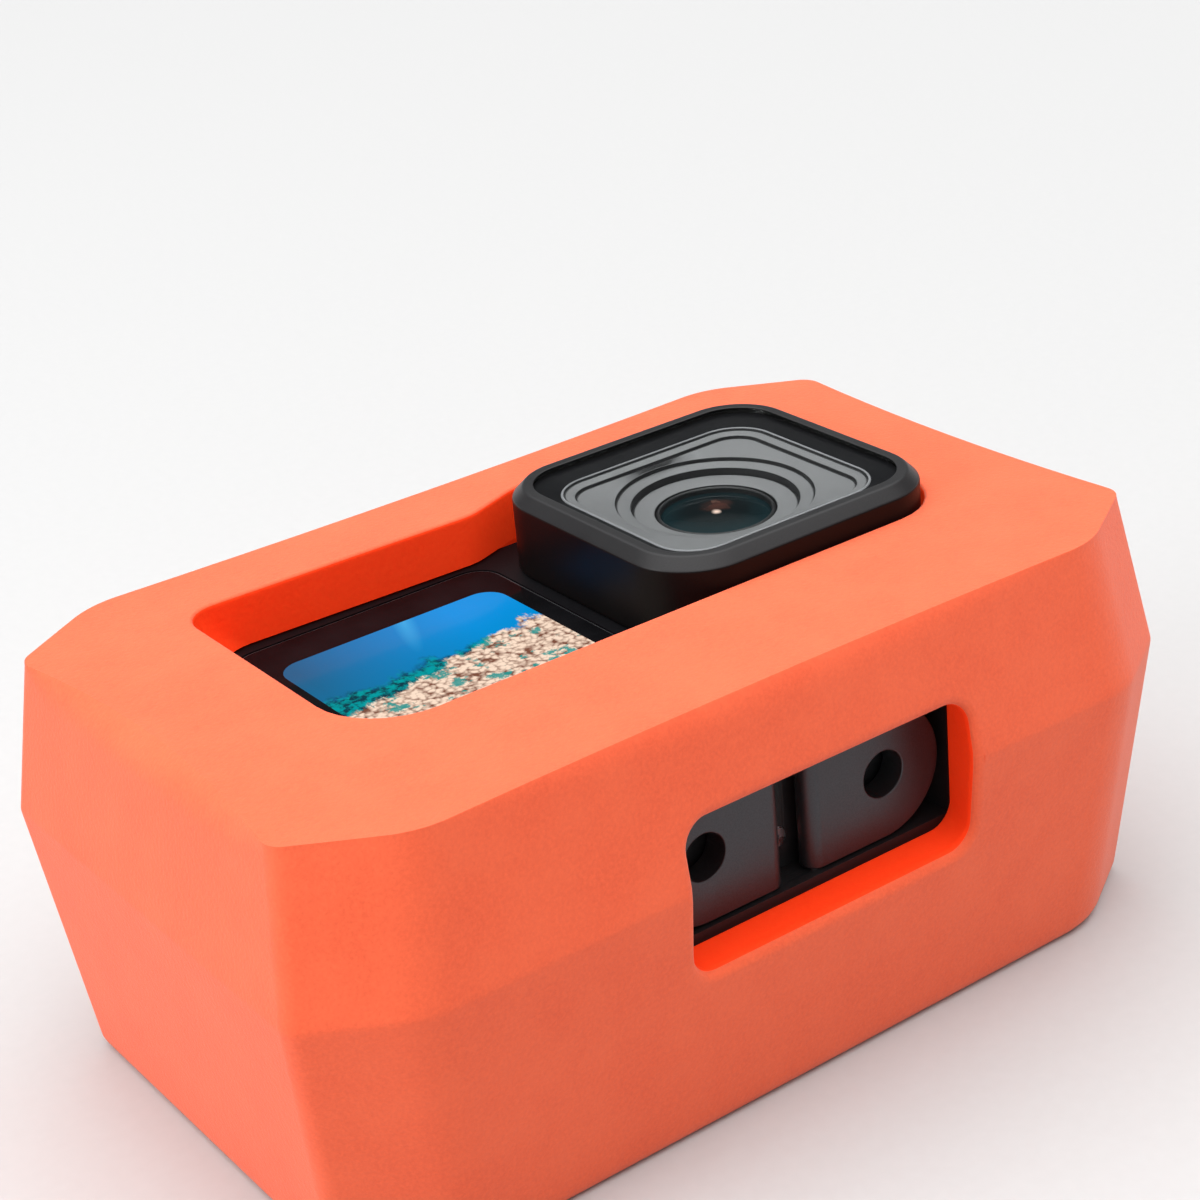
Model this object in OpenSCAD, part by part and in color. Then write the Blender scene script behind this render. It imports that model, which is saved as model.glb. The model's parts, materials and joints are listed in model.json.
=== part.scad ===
// Action camera in a foam floating case.
// +Z is the way the lens looks, +X is towards the lens side, +Y is the camera's top.
// The origin is at the middle of the case's back face, so the case rests on z = 0.

/* [Float case] */
// Length of the case's front face, side to side
face_w = 97; // [95:0.5:99]
// Height of the case's front face, bottom to top
face_h = 58.6; // [58:0.2:61]
// Depth of the case, back face to front face
case_d = 45; // [44.5:0.5:48]
// How far the walls swell out between the front face and the ridge
swell = 4.3; // [3.6:0.1:5.5]
// Height of the ridge above the back face
ridge_z = 28.5; // [24:0.5:32]
// Length of each corner cut along the case's long side
cut_x = 10.5; // [8:0.5:13]
// Length of each corner cut along the case's short side
cut_y = 6.6; // [5:0.2:8]
// Gap between the foam and the camera on every side
foam_gap = 0.3; // [0.2:0.05:0.4]

/* [Front window] */
// Left edge of the window
win_left = -34; // [-34.5:0.1:-33]
// Right edge of the window
win_right = 38.4; // [38.3:0.1:39]
// Lower edge of the window
win_near = -12.9; // [-14:0.1:-12.9]
// Upper edge of the window beside the display
win_far_display = 21.6; // [21.4:0.1:22]
// Upper edge of the window beside the lens
win_far_lens = 23.9; // [23.5:0.1:24]

/* [Camera body] */
// Width of the camera body
cam_w = 71.8; // [71.8:0.1:72]
// Height of the camera body
cam_h = 50.8; // [50.8:0.1:51]
// Depth of the camera body without the lens block
cam_d = 24.6; // [24.4:0.1:25]
// Middle of the camera, to the right of the case's middle
cam_x = 3.9; // [3.7:0.1:4]
// Middle of the camera, above the case's middle
cam_y = -1.6; // [-1.8:0.1:-1.5]
// How far the camera's front sits below the case's front face
front_sunk = 6; // [5.5:0.1:6.5]
// Corner radius of the camera body
cam_r = 6; // [5.5:0.1:6.5]
// Wall thickness of the housing
wall = 1.8; // [1.7:0.05:1.9]

/* [Lens] */
// Width of the lens cover
lens_w = 35.6; // [35:0.1:35.6]
// Height of the lens cover
lens_h = 33.8; // [33.2:0.1:33.8]
// Middle of the lens, to the right of the case's middle
lens_x = 20.2; // [20:0.1:20.2]
// Middle of the lens, above the case's middle
lens_y = 4.3; // [4.3:0.1:4.6]
// How far the lens cover stands in front of the camera body
lens_rise = 9.3; // [9:0.1:9.6]
// Corner radius of the lens cover
lens_r = 7.5; // [7:0.1:8]
// Diameter of the front lens element
lens_glass_d = 11.7; // [11:0.1:12]

/* [Displays] */
// Width of the front display's glass
front_glass_w = 31.6; // [31:0.1:31.8]
// Height of the front display's glass
front_glass_h = 36.5; // [36:0.1:37]
// Right edge of the front display's glass
front_glass_right = 1.0; // [0.8:0.1:1.2]
// Upper edge of the front display's glass
front_glass_top = 20.7; // [20.2:0.1:21]
// Side of the square lit area of the front display
front_lit = 26.5; // [25:0.1:26.5]
// Width of the rear display's glass
rear_glass_w = 62; // [60:0.5:62]
// Height of the rear display's glass
rear_glass_h = 42; // [41:0.5:42]

/* [Buttons] */
// Length of the shutter button
shutter_l = 15.4; // [14:0.1:16]
// Width of the shutter button
shutter_w = 9.4; // [8:0.1:10]
// Place of the shutter button along the top
shutter_x = -8; // [-9:0.5:-6]
// Length of the mode button
mode_l = 12; // [10:0.1:12.5]
// Width of the mode button
mode_w = 5.6; // [5:0.1:6]
// Place of the mode button along the lens side
mode_y = 5; // [3:0.5:6]
// How far the buttons stand out of the camera
button_out = 0.9; // [0.8:0.05:1]
// How far each button travels when it is pressed
button_travel = 0.6; // [0.4:0.05:0.6]

/* [Mount fingers] */
// Distance from a finger's hinge to its hole
finger_reach = 8.1; // [7.9:0.1:8.2]
// Width of a finger, which is also the diameter of its round end
finger_w = 14.4; // [14:0.1:14.6]
// Thickness of a finger
finger_t = 3; // [2.9:0.05:3]
// Gap between the two fingers when they stand out
finger_gap = 3.2; // [3.1:0.05:3.3]
// Diameter of the hole through each finger
finger_hole_d = 5; // [4.8:0.1:5.2]

/* [Hidden] */

$fn = 48;
HULL_FN = 24;      // circles inside a hull
EPS = 0.05;        // how far a cut runs past a face
SLIP = 0.05;       // radial gap of a pin that turns in its bore
FIT = 0.1;         // gap around a piece that is set into another

// heights along the lens axis
front_z = case_d - front_sunk;
back_z = front_z - cam_d;
mid_z = (front_z + back_z) / 2;
fascia_z = front_z - 2;
floor_z = back_z + 3;
lens_top_z = front_z + lens_rise;
board_z = fascia_z - 4.4;
battery_z = floor_z + 0.4;

// sides of the camera body
cam_left = cam_x - cam_w / 2;
cam_right = cam_x + cam_w / 2;
cam_bottom = cam_y - cam_h / 2;
cam_top = cam_y + cam_h / 2;
bay_x = cam_left + 3.4;          // inner face of the thick wall behind the battery door
room_right = cam_right - wall;
room_bottom = cam_bottom + wall;
room_top = cam_top - wall;
room_r = cam_r - wall;

// front display
front_glass_x = front_glass_right - front_glass_w / 2;
front_glass_y = front_glass_top - front_glass_h / 2;
front_lit_x = front_glass_right - 2.5 - front_lit / 2;
front_lit_y = front_glass_top - 5.2 - front_lit / 2;

// battery bay, as seen from the left side: Y, then Z
battery_l = 39;
battery_h = 33.4;
battery_t = 12;
battery_y = cam_y - 1.3;
battery_mid_z = battery_z + battery_t / 2;
bay_gap = 0.3;
door_h = 42.8;
door_w = 18.8;
door_t = 1.55;
door_y = cam_y;
door_z = mid_z - 0.7;
door_r = 1.8;
seal_w = 0.6;
seal_h = door_h - 1.2;
seal_z = 17;
usb_y = cam_y + 18.5;
usb_l = 8.9;
usb_t = 3.2;
usb_z = battery_z + 5.2;
card_y = cam_y + 4.1;
card_w = 11;
card_t = 0.8;
card_z = board_z - 0.85;
hinge_pin_r = 0.5;
door_pin_x = cam_left + 0.85;
door_pin_l = door_w + 2;
door_pin_y = door_y - door_h / 2 + 0.75;

// finger hinges
hinge_x = (finger_gap + finger_t) / 2;
hinge_y = cam_bottom + 0.3 + finger_t / 2;
finger_pin_r = 0.9;
finger_tip = finger_reach + finger_w / 2;
recess_floor = hinge_y + finger_t / 2 + 0.4;
recess_half = hinge_x + finger_tip + 1;
recess_w = finger_w + 0.6;
cradle_half = recess_half + 1.5;
cradle_w = recess_w + 3.6;
cradle_in = recess_floor + 1.2;
finger_pin_l = finger_w + 2.8;

// microphone behind the fascia
front_mic_x = cam_left + 12;
front_mic_y = cam_bottom + 7.5;

// where the board's screws and the fascia's bosses stand
boss_x = [cam_left + 6.5, room_right - 4.7];
boss_y = [cam_bottom + 5.7, cam_top - 5.2];

// outline of an eight-sided face, inset by r so that corner discs of radius r fill it out
function octagon(w, h, r) = let (a = w / 2 - r, b = h / 2 - r) [
    for (s = [[1, 1], [-1, 1], [-1, -1], [1, -1]])
        each (s[0] * s[1] > 0
            ? [[s[0] * a, s[1] * (b - cut_y)], [s[0] * (a - cut_x), s[1] * b]]
            : [[s[0] * (a - cut_x), s[1] * b], [s[0] * a, s[1] * (b - cut_y)]])
];

// points along a quarter turn about a centre, starting at angle a
function quarter(x, y, r, a) = [for (t = [0:10:90]) [x + r * cos(a + t), y + r * sin(a + t)]];

// soft step that the window's upper edge makes beside the lens
function window_step() = [
    for (t = [0:0.1:1]) let (rise = win_far_lens - win_far_display)
        [8 - 7.5 * t, win_far_lens - rise * (1 - cos(180 * t)) / 2]
];

module rrect(w, h, r) {
    square([w - 2 * r, h], center = true);
    square([w, h - 2 * r], center = true);
    for (x = [-1, 1], y = [-1, 1])
        translate([x * (w / 2 - r), y * (h / 2 - r)]) circle(r);
}

module stadium(l, w) {
    square([l - w, w], center = true);
    for (s = [-1, 1]) translate([s * (l - w) / 2, 0]) circle(w / 2);
}

// flat shape raised between two heights
module along_z(z0, z1) translate([0, 0, z0]) linear_extrude(z1 - z0) children();

// flat shape drawn in Y and Z, raised along X
module along_x(x0, x1)
    translate([x0, 0, 0]) rotate([90, 0, 90]) linear_extrude(x1 - x0) children();

// flat shape drawn in X and Z, raised along Y
module along_y(y0, y1)
    translate([0, y1, 0]) rotate([90, 0, 0]) linear_extrude(y1 - y0) children();

module camera_outline(grow = 0) translate([cam_x, cam_y])
    rrect(cam_w + 2 * grow, cam_h + 2 * grow, cam_r + grow);

module lens_outline(grow = 0) translate([lens_x, lens_y])
    rrect(lens_w + 2 * grow, lens_h + 2 * grow, lens_r + grow);

module front_glass_outline(grow = 0) translate([front_glass_x, front_glass_y])
    rrect(front_glass_w + 2 * grow, front_glass_h + 2 * grow, 3 + grow);

module rear_glass_outline(grow = 0) translate([cam_x, cam_y])
    rrect(rear_glass_w + 2 * grow, rear_glass_h + 2 * grow, 2.8 + grow);

// ---- float case ----

module shell_blank() {
    corner = 2;
    // height of each level and how far it stands outside the front face
    levels = [
        [0, swell - 3.9], [1.4, swell - 2.7], [ridge_z, swell],
        [case_d - 2.9, swell - 2.4], [case_d - 0.9, 0.5], [case_d - 0.1, 0]
    ];
    hull()
        for (level = levels, p = octagon(face_w + 2 * level[1], face_h + 2 * level[1], corner))
            translate([p[0], p[1], level[0]]) cylinder(r = corner, h = 0.1, $fn = HULL_FN);
}

module window_outline() {
    near_r = 8;
    far_r = 3.5;
    lens_side_r = lens_r + 0.3;
    polygon(concat(
        quarter(win_left + near_r, win_near + near_r, near_r, 180),
        quarter(win_right - lens_side_r, win_near + lens_side_r, lens_side_r, 270),
        quarter(win_right - lens_side_r, win_far_lens - lens_side_r, lens_side_r, 0),
        window_step(),
        quarter(win_left + far_r, win_far_display - far_r, far_r, 90)
    ));
}

// opening that lets the fingers swing out, wider inside than outside
module finger_opening() {
    outer = -(face_h / 2 + swell + 1);
    inner = cam_bottom - foam_gap;
    inner_half = recess_half - 0.4;
    outer_half = hinge_x + sqrt(pow(finger_tip + 0.4, 2) - pow(outer + 1 - hinge_y, 2)) + 0.3;
    translate([cam_x, 0, 0]) along_z(mid_z - recess_w / 2 - 0.6, mid_z + recess_w / 2 + 0.6)
        polygon([
            [-inner_half, inner + 1], [-inner_half, inner],
            [-outer_half, outer], [outer_half, outer],
            [inner_half, inner], [inner_half, inner + 1]
        ]);
}

module float_shell() {
    shutter_room = shutter_l + 5;
    mode_room = mode_l + 4.5;
    color("coral") difference() {
        shell_blank();
        along_z(-1, front_z + foam_gap) camera_outline(foam_gap);
        along_z(front_z, case_d + 1) window_outline();
        finger_opening();
        // finger-sized openings over the two buttons
        translate([shutter_x, 0, mid_z]) along_y(cam_top - 1, face_h / 2 + swell + 1)
            stadium(shutter_room, shutter_w + 5);
        translate([0, mode_y, mid_z]) along_x(cam_right - 1, face_w / 2 + swell + 1)
            stadium(mode_room, mode_w + 5);
        // shallow channels that let the buttons pass as the camera slides out
        translate([shutter_x - shutter_l / 2 - 0.6, cam_top, -1])
            cube([shutter_l + 1.2, button_out + 0.5, mid_z + 1]);
        translate([cam_right, mode_y - mode_l / 2 - 0.6, -1])
            cube([button_out + 0.5, mode_l + 1.2, mid_z + 1]);
    }
}

// ---- housing ----

module housing_room() {
    w = room_right - bay_x;
    h = room_top - room_bottom;
    along_z(floor_z, fascia_z + EPS)
        translate([(room_right + bay_x) / 2, (room_top + room_bottom) / 2]) rrect(w, h, room_r);
}

// ring in the thick left wall that carries the door's seal: Y, then Z
module seal_ring(grow = 0) difference() {
    translate([door_y, door_z]) rrect(seal_h + 2 * grow, seal_z + 2 * grow, 1.2);
    translate([door_y, door_z])
        rrect(seal_h - 2 * seal_w - 2 * grow, seal_z - 2 * seal_w - 2 * grow, 0.7);
}

module side_openings() {
    // recess and ports behind the battery door
    along_x(cam_left - 1, cam_left + door_t + FIT)
        translate([door_y, door_z]) rrect(door_h + 2 * FIT, door_w + 2 * FIT, door_r + FIT);
    along_x(cam_left + door_t, cam_left + door_t + 0.85) seal_ring(0.05);
    along_x(cam_left, bay_x + 1) {
        translate([battery_y, battery_mid_z])
            square([battery_h + 2 * bay_gap, battery_t + 2 * bay_gap], center = true);
        translate([usb_y, usb_z]) rotate(90) stadium(usb_l + 0.3, usb_t + 0.3);
        translate([card_y, card_z]) square([card_w + 0.8, card_t + 0.5], center = true);
    }
    translate([door_pin_x, door_pin_y, door_z]) cylinder(r = hinge_pin_r, h = door_pin_l + 0.2, center = true);
}

module face_openings() {
    along_z(back_z - 1, back_z + 1.05) rear_glass_outline(FIT);
    along_z(back_z + 1, back_z + 2.3) translate([cam_x, cam_y]) square([57, 37], center = true);
    along_z(fascia_z - 0.5, fascia_z + 1) gasket_ring(0.05);
    // status light, shutter and mode buttons, top microphone
    translate([cam_right - 2.4, cam_y + 15, back_z - 1]) cylinder(r = 0.85, h = 5);
    translate([shutter_x, 0, mid_z]) along_y(room_top - 1, cam_top + 1)
        stadium(shutter_l + 0.3, shutter_w + 0.3);
    translate([0, mode_y, mid_z]) along_x(room_right - 1, cam_right + 1)
        stadium(mode_l + 0.3, mode_w + 0.3);
    translate([cam_x + 6, cam_top + 1, mid_z]) rotate([90, 0, 0]) cylinder(r = 0.6, h = 4);
    // cradle seat and speaker slots in the bottom
    translate([cam_x, 0, mid_z]) along_y(cam_bottom - 1, cradle_in + SLIP)
        square([2 * cradle_half + 2 * SLIP, cradle_w + 2 * SLIP], center = true);
    for (i = [-2:2])
        translate([cam_right - 9.6 + 2 * i, 0, mid_z - 1]) along_y(cam_bottom - 1, room_bottom + 1)
            rotate(90) stadium(8, 1);
}

module body_housing() {
    bay_wall = [boss_x[0] + 3, cam_x + 2.8];
    color("dimgray") difference() {
        union() {
            difference() {
                along_z(back_z, fascia_z) camera_outline();
                housing_room();
            }
            // wall along the battery bay that the cradle's screws bite into
            translate([bay_wall[0], cradle_in + SLIP, floor_z - 1])
                cube([bay_wall[1] - bay_wall[0], 1.7, 15.5]);
        }
        side_openings();
        face_openings();
        for (z = cradle_screw_z)
            translate([cam_x, cradle_in, z]) rotate([-90, 0, 0]) cylinder(r = 0.62, h = 3);
    }
}

module gasket_ring(grow = 0) difference() {
    camera_outline(grow - 0.5);
    camera_outline(-1.2 - grow);
}

module fascia_gasket() color("black") along_z(fascia_z - 0.45, fascia_z) gasket_ring();

module front_fascia() {
    boss_r = 1.9;
    boss_h = 1.9;
    chamfer = 0.7;
    color("dimgray") difference() {
        union() {
            hull() {
                along_z(fascia_z, front_z - chamfer) camera_outline($fn = 32);
                along_z(front_z - 0.1, front_z) camera_outline(-chamfer, $fn = 32);
            }
            // plinth that the lens cover fits over
            along_z(front_z - 0.5, front_z + 3.2) translate([lens_x, lens_y])
                rrect(lens_w - 4.4, lens_h - 4.4, lens_r - 1.5);
            for (x = boss_x, y = boss_y)
                translate([x, y, fascia_z - boss_h]) cylinder(r = boss_r, h = boss_h + 0.5);
        }
        along_z(front_z - 1, front_z + 1) front_glass_outline(FIT);
        along_z(fascia_z - 1, front_z) translate([front_lit_x, front_lit_y])
            square(front_lit + 1.6, center = true);
        translate([lens_x, lens_y, fascia_z - 1]) cylinder(r = 9, h = 10);
        translate([front_mic_x, front_mic_y, fascia_z - 1]) cylinder(r = 0.6, h = 5);
        for (x = boss_x, y = boss_y)
            translate([x, y, fascia_z - boss_h - 1]) cylinder(r = 0.72, h = boss_h + 1.8);
        // shallow cooling grooves across the lower part
        for (i = [0:4])
            translate([cam_x, cam_bottom + 3.4 + 1.7 * i, front_z])
                cube([cam_w - 26, 0.7, 0.8], center = true);
    }
}

// ---- displays ----

module front_display_panel() color("royalblue")
    along_z(front_z - 2.6, front_z - 1.1) translate([front_lit_x, front_lit_y])
        square(front_lit + 1, center = true);

module front_display_glass() color("black")
    along_z(front_z - 1, front_z - 0.05) front_glass_outline();

module rear_display_panel() color("midnightblue")
    along_z(back_z + 1.05, back_z + 2.2) translate([cam_x, cam_y]) square([56.6, 36.6], center = true);

module rear_display_glass() color("black") along_z(back_z + 0.05, back_z + 1) rear_glass_outline();

module status_light() color("red")
    translate([cam_right - 2.4, cam_y + 15, back_z + 0.05]) cylinder(r = 0.8, h = 2.6);

// ---- lens ----

module lens_barrel() color("black") translate([lens_x, lens_y, 0]) difference() {
    union() {
        translate([0, 0, mid_z - 4.4]) cylinder(r = 8.6, h = fascia_z - mid_z + 3.4);
        translate([0, 0, fascia_z - 2]) cylinder(r = 7.6, h = 8);
        translate([0, 0, fascia_z + 5]) cylinder(r = 6.4, h = 2.2);
    }
    translate([0, 0, mid_z - 5]) cylinder(r = 4.6, h = 30);
    translate([0, 0, fascia_z - 6]) cylinder(r = 5.3, h = 30);
    translate([0, 0, fascia_z + 4]) cylinder(r = lens_glass_d / 2 + 0.05, h = 30);
}

module lens_front_element() {
    r = lens_glass_d / 2;
    rise = 1.5;
    ball = (r * r + rise * rise) / (2 * rise);
    color("darkslategray") translate([lens_x, lens_y, fascia_z + 4.1]) rotate_extrude()
        polygon(concat(
            [[0, 0], [r, 0], [r, 1.6]],
            [for (t = [0.1:0.1:1]) let (a = (1 - t) * asin(r / ball))
                [ball * sin(a), 1.6 + rise - ball * (1 - cos(a))]]
        ));
}

module inner_lenses() color("lightsteelblue") translate([lens_x, lens_y, 0]) {
    translate([0, 0, fascia_z - 5.9]) cylinder(r = 5.25, h = 2.4);
    translate([0, 0, fascia_z - 1]) cylinder(r = 5.25, h = 3);
    translate([0, 0, mid_z - 2]) cylinder(r = 4.55, h = 2.2);
}

module image_sensor() color("slategray")
    translate([lens_x, lens_y, mid_z - 6.1]) cube([8.4, 6.8, 1.4], center = true);

module sensor_board() color("darkgreen")
    translate([lens_x, lens_y, mid_z - 7.4]) cube([17.2, 17.2, 1.1], center = true);

module lens_cover_frame() {
    chamfer = 1.3;
    color("dimgray") difference() {
        hull() {
            along_z(front_z + 0.15, lens_top_z - chamfer) lens_outline($fn = 32);
            along_z(lens_top_z - 0.1, lens_top_z) lens_outline(-chamfer, $fn = 32);
        }
        along_z(front_z, front_z + 4.2) lens_outline(-1.8);
        along_z(front_z + 4, lens_top_z + 1) lens_outline(-2);
    }
}

module lens_baffle() {
    base = front_z + 4.3;
    top = lens_top_z - 1.4;
    // each step: width and height of the opening, then its depth below the top
    steps = [[25.6, 22.8, 0.25], [23, 20.4, 0.6], [21, 19.2, 1]];
    rings = [[9, 1.4], [8, 1.8], [7.2, 2.3]];
    color("gray") difference() {
        along_z(base, top) lens_outline(-2.1);
        for (s = steps)
            along_z(top - s[2], top + 1) translate([lens_x, lens_y]) rrect(s[0], s[1], 4.5);
        for (ring = rings)
            translate([lens_x, lens_y, top - ring[1]]) cylinder(r = ring[0], h = 5);
        translate([lens_x, lens_y, base - 1]) cylinder(r = 6.55, h = 10);
    }
}

module lens_cover_glass() color("lightcyan", 0.5)
    along_z(lens_top_z - 1.35, lens_top_z - 0.25) lens_outline(-2.1);

module lens_cover_seal() color("black")
    along_z(front_z + 1.2, front_z + 2.2) difference() {
        lens_outline(-1.85);
        lens_outline(-2.15);
    }

// ---- electronics ----

module main_board() color("darkgreen") difference() {
    along_z(board_z, board_z + 1)
        translate([(room_right + bay_x) / 2, (room_top + room_bottom) / 2])
            rrect(room_right - bay_x - 0.8, room_top - room_bottom - 0.8, room_r - 0.4);
    translate([lens_x, lens_y, board_z - 1]) cylinder(r = 9.3, h = 3);
    for (x = boss_x, y = boss_y) translate([x, y, board_z - 1]) cylinder(r = 0.8, h = 3);
    // notch that clears the finger cradle
    translate([cam_x - cradle_half - 0.4, room_bottom - 1, board_z - 1])
        cube([2 * cradle_half + 0.8, cradle_in - room_bottom + 1.4, 3]);
}

module board_chips() color("black") for (c = [[-10, 13.5, 8], [-1, 14, 6], [0, -12, 7], [22, -14, 6]])
    translate([c[0], c[1], board_z - 0.75]) cube([c[2], c[2], 1.4], center = true);

module heat_spreader() color("silver") difference() {
    translate([bay_x + 1, cam_bottom + 6.2, board_z + 1.1]) cube([37, 38, 0.9]);
    for (x = boss_x, y = boss_y) translate([x, y, board_z]) cylinder(r = 2.6, h = 5);
}

module board_screws() color("silver") for (x = boss_x, y = boss_y)
    translate([x, y, board_z]) {
        translate([0, 0, -1.05]) cylinder(r = 1.4, h = 1);
        translate([0, 0, -0.5]) cylinder(r = 0.7, h = 4.9);
    }

module battery() color("whitesmoke")
    translate([bay_x + 0.2, battery_y - battery_h / 2, battery_z])
        cube([battery_l, battery_h, battery_t]);

module battery_door() {
    latch_seat = 0.9;
    color("dimgray") difference() {
        intersection() {
            along_x(cam_left, cam_left + door_t)
                translate([door_y, door_z]) rrect(door_h, door_w, door_r);
            along_z(back_z, fascia_z) camera_outline();
        }
        along_x(cam_left - 1, cam_left + latch_seat)
            translate([door_y + door_h / 2 - 5, door_z]) square([5.2, 8.2], center = true);
        translate([door_pin_x, door_pin_y, door_z])
            cylinder(r = hinge_pin_r + SLIP, h = door_w + 1, center = true);
    }
}

module door_seal() color("orangered")
    along_x(cam_left + door_t + 0.02, cam_left + door_t + 0.8) seal_ring();

module door_latch() color("gray")
    along_x(cam_left + 0.05, cam_left + 0.85) difference() {
        translate([door_y + door_h / 2 - 5, door_z]) square([5, 8], center = true);
        for (i = [-1:1]) translate([door_y + door_h / 2 - 5 + 1.3 * i, door_z])
            square([0.5, 5.6], center = true);
    }

module door_hinge_pin() color("silver")
    translate([door_pin_x, door_pin_y, door_z])
        cylinder(r = hinge_pin_r - 0.01, h = door_pin_l, center = true);

module usb_port() color("silver") along_x(bay_x - 0.8, bay_x + 6.6) difference() {
    translate([usb_y, usb_z]) rotate(90) stadium(usb_l, usb_t);
    translate([usb_y, usb_z]) rotate(90) stadium(usb_l - 0.6, usb_t - 0.6);
}

module card_slot() {
    slot_l = 15.5;
    color("silver") difference() {
        along_x(bay_x + 0.2, bay_x + slot_l)
            translate([card_y, card_z]) square([card_w + 1.2, card_t + 0.8], center = true);
        along_x(bay_x, bay_x + slot_l - 0.5)
            translate([card_y, card_z]) square([card_w + 0.4, card_t + 0.3], center = true);
    }
}

module memory_card() color("darkred")
    along_x(bay_x - 0.6, bay_x + 14.4)
        translate([card_y, card_z]) square([card_w, card_t], center = true);

// ---- controls ----

shutter_flange_y = room_top - 0.2;
mode_flange_x = room_right - 0.2;

module shutter_button() color("gray") translate([shutter_x, 0, mid_z]) {
    along_y(shutter_flange_y - 0.8, shutter_flange_y) stadium(shutter_l + 1.6, shutter_w + 1.6);
    along_y(shutter_flange_y - EPS, cam_top + button_out) stadium(shutter_l, shutter_w);
}

module mode_button() color("gray") translate([0, mode_y, mid_z]) {
    along_x(mode_flange_x - 0.8, mode_flange_x) stadium(mode_l + 1.6, mode_w + 1.6);
    along_x(mode_flange_x - EPS, cam_right + button_out) stadium(mode_l, mode_w);
}

shutter_switch_y = shutter_flange_y - 0.8 - button_travel - 0.1;
mode_switch_x = mode_flange_x - 0.8 - button_travel - 0.1;

module shutter_switch() color("gold") translate([shutter_x, shutter_switch_y, mid_z]) {
    rotate([90, 0, 0]) cylinder(r = 1.4, h = 0.7);
    translate([0, -1.1, 0]) cube([4.4, 0.9, 4.4], center = true);
}

module mode_switch() color("gold") translate([mode_switch_x, mode_y, mid_z]) {
    rotate([0, -90, 0]) cylinder(r = 1.4, h = 0.7);
    translate([-1.1, 0, 0]) cube([0.9, 4.4, 4.4], center = true);
}

module switch_brackets() {
    t = 0.6;
    color("silver") {
        translate([shutter_x - 3, shutter_switch_y - 1.6 - t, mid_z - 3])
            cube([6, t, board_z - mid_z + 2.9]);
        translate([mode_switch_x - 1.6 - t, mode_y - 3, mid_z - 3])
            cube([t, 6, board_z - mid_z + 2.9]);
    }
}

// ---- folding mount fingers ----

cradle_screw_z = [mid_z - 4, mid_z + 4];

module mount_cradle() color("gray") difference() {
    translate([cam_x, 0, mid_z]) along_y(cam_bottom, cradle_in)
        square([2 * cradle_half, cradle_w], center = true);
    translate([cam_x, 0, mid_z]) along_y(cam_bottom - 1, recess_floor)
        square([2 * recess_half, recess_w], center = true);
    for (s = [-1, 1]) translate([cam_x + s * hinge_x, hinge_y, mid_z])
        cylinder(r = finger_pin_r + 0.02, h = finger_pin_l + 0.2, center = true);
    for (z = cradle_screw_z) translate([cam_x, recess_floor - 1, z]) rotate([-90, 0, 0]) {
        cylinder(r = 1.25, h = 1.6);
        cylinder(r = 0.65, h = 4);
    }
}

module cradle_screws() color("silver") for (z = cradle_screw_z)
    translate([cam_x, recess_floor, z]) rotate([-90, 0, 0]) difference() {
        union() {
            cylinder(r = 1.2, h = 0.58);
            cylinder(r = 0.6, h = 2.7);
        }
        translate([0, 0, -EPS]) cylinder(r = 0.5, h = 0.4, $fn = 6);
    }

// finger folded flat, reaching out to side s from its hinge
module finger(s) color("gray") translate([cam_x + s * hinge_x, hinge_y, mid_z]) difference() {
    union() {
        translate([s > 0 ? 0 : -finger_reach, -finger_t / 2, -finger_w / 2])
            cube([finger_reach, finger_t, finger_w]);
        translate([s * finger_reach, 0, 0]) rotate([90, 0, 0])
            cylinder(r = finger_w / 2, h = finger_t, center = true);
        cylinder(r = finger_t / 2, h = finger_w, center = true);
    }
    translate([s * finger_reach, 0, 0]) rotate([90, 0, 0])
        cylinder(d = finger_hole_d, h = finger_t + 1, center = true);
    cylinder(r = finger_pin_r + SLIP, h = finger_w + 1, center = true);
}

module finger_left() finger(-1);

module finger_right() finger(1);

module finger_pins() color("silver") for (s = [-1, 1])
    translate([cam_x + s * hinge_x, hinge_y, mid_z])
        cylinder(r = finger_pin_r, h = finger_pin_l, center = true);

// ---- sound ----

module speaker() color("black")
    translate([cam_right - 14.4, room_bottom + 0.3, mid_z - 7]) cube([9.4, 3.2, 11]);

module microphones() color("gold") {
    translate([front_mic_x, front_mic_y, fascia_z - 1.3]) cylinder(r = 2, h = 1.2);
    translate([cam_x + 6, room_top - 0.1, mid_z]) rotate([90, 0, 0]) cylinder(r = 2, h = 1.2);
}

float_shell();
body_housing();
fascia_gasket();
front_fascia();
front_display_panel();
front_display_glass();
rear_display_panel();
rear_display_glass();
status_light();
lens_barrel();
lens_front_element();
inner_lenses();
image_sensor();
sensor_board();
lens_cover_frame();
lens_baffle();
lens_cover_glass();
lens_cover_seal();
main_board();
board_chips();
heat_spreader();
board_screws();
battery();
battery_door();
door_seal();
door_latch();
door_hinge_pin();
usb_port();
card_slot();
memory_card();
switch_brackets();
shutter_switch();
mode_switch();
shutter_button();
mode_button();
mount_cradle();
cradle_screws();
finger_left();
finger_right();
finger_pins();
speaker();
microphones();
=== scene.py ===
"""Looks of an action camera in a foam floating case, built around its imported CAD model.

The case lies on its back on the floor with the lens up: +Z is the way the lens looks,
+X is towards the lens side and +Y is the camera's top. Lengths here are in millimetres.
"""

import functools
import json
import math

import bmesh
import bpy
from mathutils import Matrix, Vector


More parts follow.
